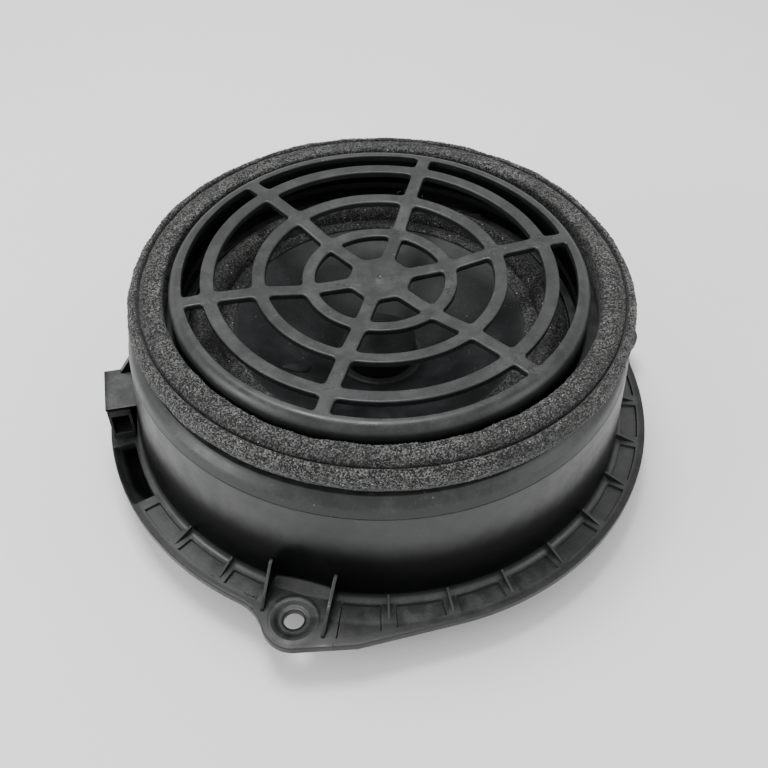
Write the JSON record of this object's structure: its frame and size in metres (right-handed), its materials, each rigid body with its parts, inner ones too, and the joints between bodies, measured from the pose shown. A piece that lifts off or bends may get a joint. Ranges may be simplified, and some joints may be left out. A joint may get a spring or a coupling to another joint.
{
  "type": "car door speaker",
  "caption": "Round in-door car woofer in a tall moulded housing, with a dished spoked grille, a foam sealing ring, a riveting flange and a side connector.",
  "frame": {"origin": "centre of the magnet system's flat rear face", "axes": "+Z forward through the grille, along the cone's travel; +X and +Y across the flange, with the first ear at azimuth -105 degrees from +X"},
  "size_m": [0.2086, 0.2109, 0.0795],
  "materials": {
    "housing": "satin moulded plastic, fine grain, dusty",
    "grille": "satin moulded plastic with polished edges, dusty",
    "foam": "open-cell foam, speckled",
    "connector": "satin moulded plastic",
    "brass": "tinned, satin",
    "basket": "satin moulded plastic",
    "steel": "zinc plated",
    "plated_steel": "zinc plated, satin",
    "ferrite": "dull ground ferrite",
    "board": "laminate board",
    "tinsel": "braided over a cotton core",
    "wire_red": "insulated wire",
    "wire_brown": "insulated wire",
    "surround": "rubber with a matt dusty skin",
    "spider": "resin-treated woven cloth",
    "cone": "filled polypropylene, fine grain",
    "dust_cap": "pressed, matt",
    "former": "polyimide film",
    "copper": "enamelled copper wire"
  },
  "bodies": {
    "housing": {"housing": "housing", "grille_cover": "grille", "foam_gasket": "foam", "flange_seal": "foam", "connector_shell": "connector", "terminal_pin_1": "brass", "terminal_pin_2": "brass", "driver_basket": "basket", "basket_screw_1": "steel", "basket_screw_2": "steel", "basket_screw_3": "steel", "basket_screw_4": "steel", "plate_rivet_1": "steel", "plate_rivet_2": "steel", "plate_rivet_3": "steel", "plate_rivet_4": "steel", "clamp_ring": "basket", "top_plate": "plated_steel", "magnet": "ferrite", "back_plate": "plated_steel", "terminal_board": "board", "tinsel_lead_1": "tinsel", "tinsel_lead_2": "tinsel", "hookup_wire_1": "wire_red", "hookup_wire_2": "wire_brown", "surround": "surround", "spider": "spider"},
    "cone_assembly": {"cone": "cone", "dust_cap": "dust_cap", "coil_former": "former", "voice_coil": "copper"}
  },
  "joints": [
    {"name": "cone_travel", "type": "slide", "parent": "housing", "child": "cone_assembly", "axis": [0, 0, 1], "range_m": [-0.004, 0.004], "stiffness_N_per_m": 1500, "deforming": ["surround", "spider", "tinsel_lead_1", "tinsel_lead_2"]}
  ]
}
